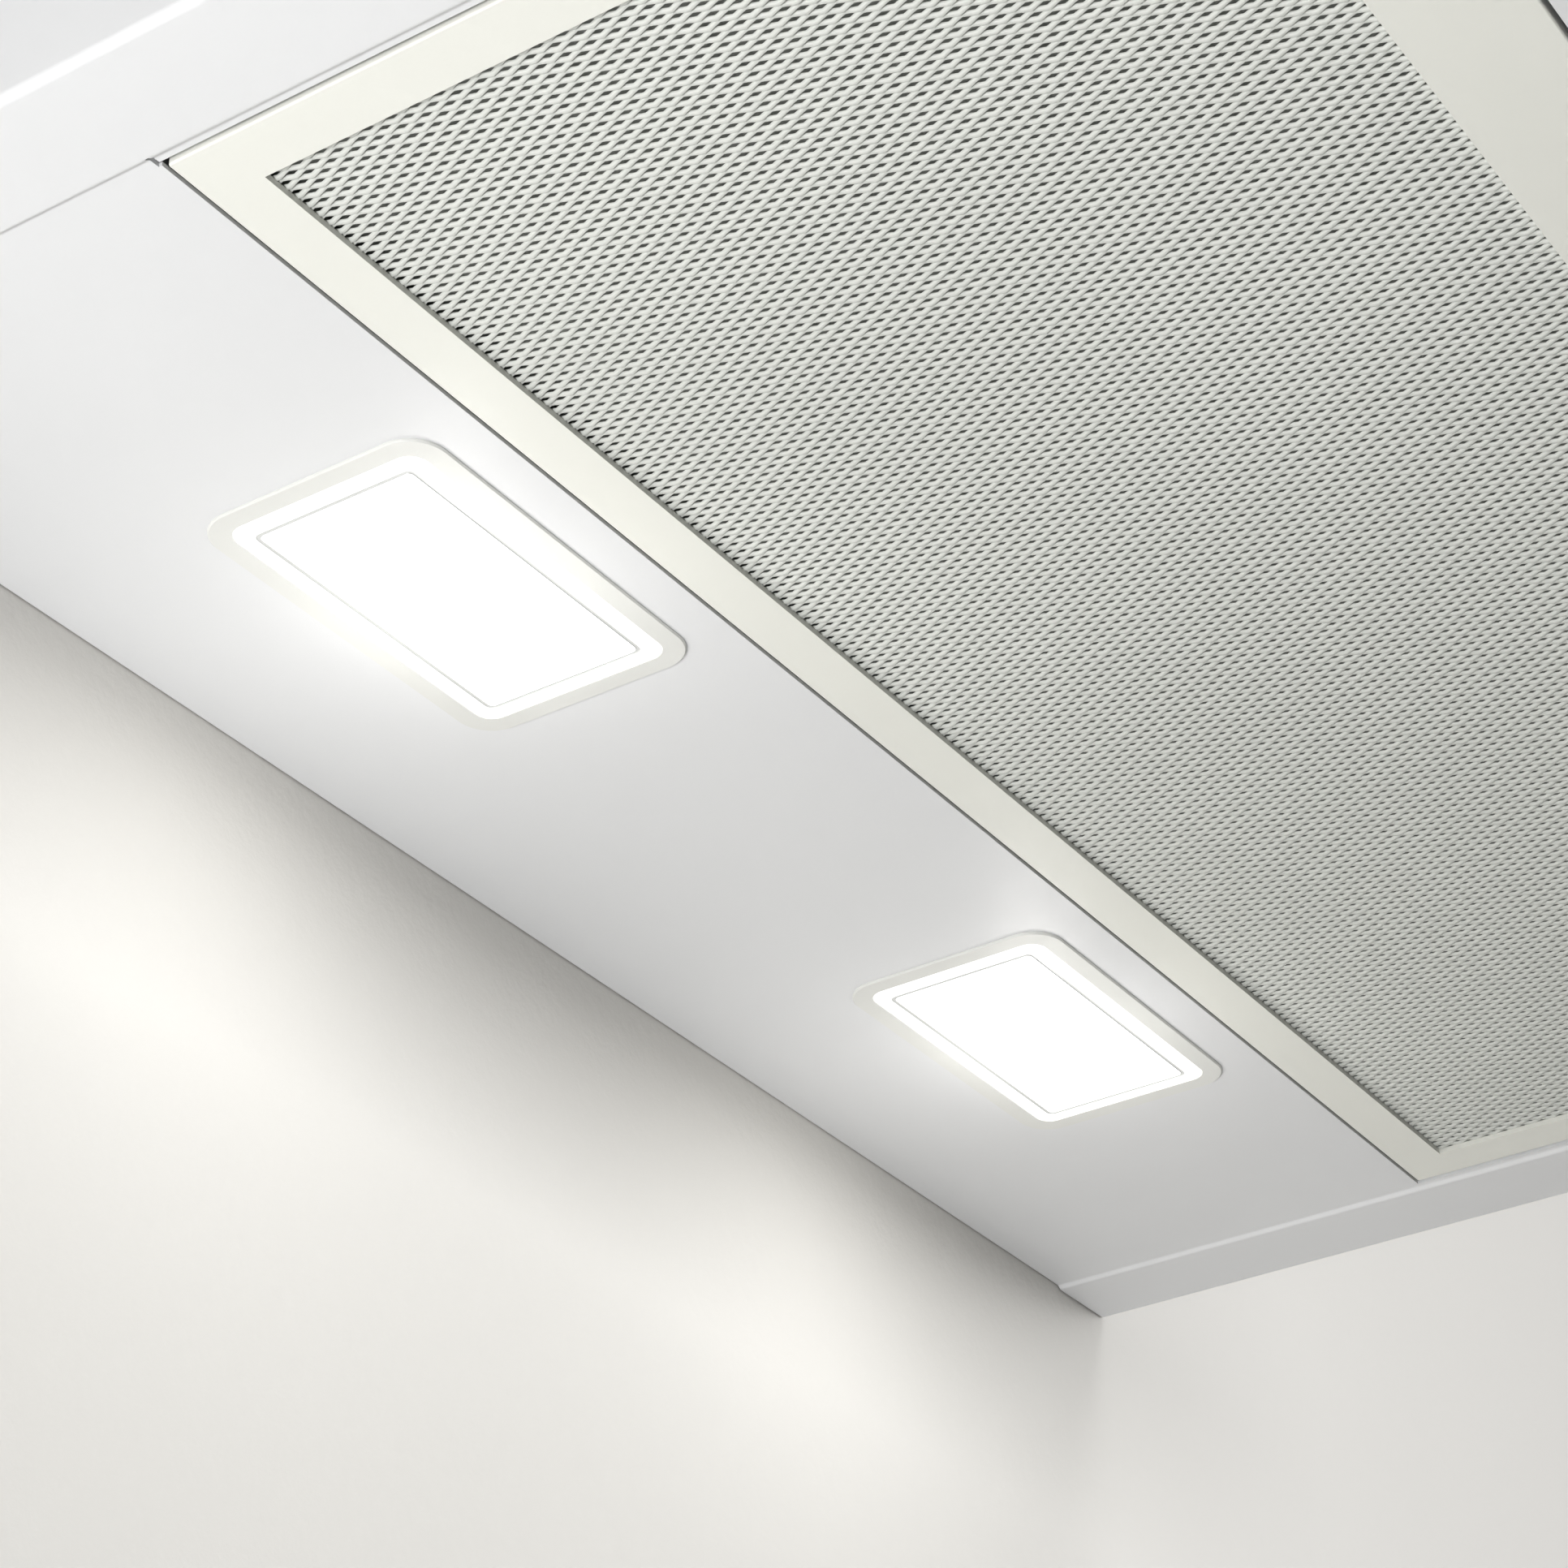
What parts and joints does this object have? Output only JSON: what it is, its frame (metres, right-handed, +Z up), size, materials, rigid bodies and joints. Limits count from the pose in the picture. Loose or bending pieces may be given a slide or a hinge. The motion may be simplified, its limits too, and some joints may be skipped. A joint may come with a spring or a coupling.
{
  "type": "under cabinet range hood",
  "caption": "White under cabinet range hood with rectangular lamps at the rear of its underside, a swing-down mesh grease filter, a centrifugal blower and a top duct spigot.",
  "frame": {"origin": "centre of the four cabinet screw holes, on the top face", "axes": "+Z up, +Y towards the wall, +X to the right when facing the wall"},
  "size_m": [0.598, 0.5034, 0.1915],
  "materials": {
    "body_paint": "white powder coat, fine satin",
    "bezel_plastic": "pale grey-white moulded ring",
    "lens": "frosted light cover, lit",
    "filter_paint": "warm white coated aluminium",
    "bare_aluminium": "mill finish",
    "galvanised": "galvanised sheet",
    "screw_steel": "zinc plated",
    "shaft_steel": "ground",
    "copper": "varnished winding and laminations",
    "grey_plastic": "moulded dark grey",
    "black_plastic": "moulded black",
    "white_plastic": "moulded white",
    "latch_plastic": "moulded pale grey",
    "rubber": "soft black",
    "circuit_board": "white solder mask",
    "trim_plastic": "moulded light grey"
  },
  "bodies": {
    "body": {"body_shell": "body_paint", "top_cover": "body_paint", "front_cover": "body_paint", "back_panel": "galvanised", "control_fascia": "body_paint", "front_cross_rail": "galvanised", "rear_cross_rail": "galvanised", "filter_hinge_bracket_left": "galvanised", "filter_hinge_bracket_right": "galvanised", "lamp_bezel_left": "bezel_plastic", "lamp_bezel_right": "bezel_plastic", "lamp_lens_left": "lens", "lamp_lens_right": "lens", "led_boards": "circuit_board", "lamp_housing_left": "bare_aluminium", "lamp_housing_right": "bare_aluminium", "led_driver": "white_plastic", "scroll_housing_left": "grey_plastic", "scroll_housing_right": "grey_plastic", "blower_screws": "screw_steel", "outlet_gasket": "rubber", "duct_spigot": "grey_plastic", "motor_stator": "copper", "motor_casing_outer": "galvanised", "motor_casing_inner": "galvanised", "motor_bearings": "shaft_steel", "motor_isolator_ring": "rubber", "motor_bracket": "galvanised", "motor_capacitor": "white_plastic", "capacitor_clip": "galvanised", "terminal_box": "grey_plastic", "terminal_box_cover": "grey_plastic", "terminal_block": "white_plastic", "cable_grommet": "rubber", "button_surround": "trim_plastic", "switch_block": "black_plastic", "switch_carrier": "grey_plastic", "fascia_screws": "screw_steel", "mains_leads": "white_plastic", "lamp_leads": "white_plastic"},
    "fan": {"impeller_disc": "black_plastic", "impeller_blades_left": "black_plastic", "impeller_blades_right": "black_plastic", "motor_shaft": "shaft_steel", "impeller_nut": "screw_steel", "motor_rotor": "shaft_steel"},
    "filter": {"filter_frame": "filter_paint", "filter_face_mesh": "filter_paint", "filter_back_mesh": "bare_aluminium", "filter_media": "bare_aluminium", "filter_hinge_pins": "screw_steel"},
    "latch_left": {"filter_latch_left": "latch_plastic"},
    "latch_right": {"filter_latch_right": "latch_plastic"},
    "flap_left": {"damper_flap_left": "black_plastic"},
    "flap_right": {"damper_flap_right": "black_plastic"},
    "fan_off_key": {"fan_off_button": "white_plastic"},
    "fan_speed_1_key": {"fan_speed_1_button": "white_plastic"},
    "fan_speed_2_key": {"fan_speed_2_button": "white_plastic"},
    "fan_speed_3_key": {"fan_speed_3_button": "white_plastic"},
    "light_key": {"light_button": "white_plastic"}
  },
  "joints": [
    {"name": "fan_spin", "type": "hinge", "parent": "body", "child": "fan", "pos_m": [0, -0.055, -0.064], "axis": [1, 0, 0], "continuous": true},
    {"name": "filter_swing", "type": "hinge", "parent": "body", "child": "filter", "pos_m": [0, 0.0344, -0.1446], "axis": [1, 0, 0], "range_deg": [0, 85]},
    {"name": "latch_left_slide", "type": "slide", "parent": "filter", "child": "latch_left", "axis": [0, 1, 0], "range_m": [0, 0.005], "stiffness_N_per_m": 300, "springref_m": -0.003},
    {"name": "latch_right_slide", "type": "slide", "parent": "filter", "child": "latch_right", "axis": [0, 1, 0], "range_m": [0, 0.005], "stiffness_N_per_m": 300, "springref_m": -0.003},
    {"name": "flap_left_hinge", "type": "hinge", "parent": "body", "child": "flap_left", "pos_m": [-0.0032, -0.026, 0.0074], "axis": [0, 1, 0], "range_deg": [0, 80]},
    {"name": "flap_right_hinge", "type": "hinge", "parent": "body", "child": "flap_right", "pos_m": [0.0032, -0.026, 0.0074], "axis": [0, -1, 0], "range_deg": [0, 80]},
    {"name": "fan_off_press", "type": "slide", "parent": "body", "child": "fan_off_key", "axis": [0, 1, 0], "range_m": [0, 0.002], "stiffness_N_per_m": 400, "springref_m": -0.001},
    {"name": "fan_speed_1_press", "type": "slide", "parent": "body", "child": "fan_speed_1_key", "axis": [0, 1, 0], "range_m": [0, 0.002], "stiffness_N_per_m": 400, "springref_m": -0.001},
    {"name": "fan_speed_2_press", "type": "slide", "parent": "body", "child": "fan_speed_2_key", "axis": [0, 1, 0], "range_m": [0, 0.002], "stiffness_N_per_m": 400, "springref_m": -0.001},
    {"name": "fan_speed_3_press", "type": "slide", "parent": "body", "child": "fan_speed_3_key", "axis": [0, 1, 0], "range_m": [0, 0.002], "stiffness_N_per_m": 400, "springref_m": -0.001},
    {"name": "light_press", "type": "slide", "parent": "body", "child": "light_key", "axis": [0, 1, 0], "range_m": [0, 0.002], "stiffness_N_per_m": 400, "springref_m": -0.001}
  ]
}
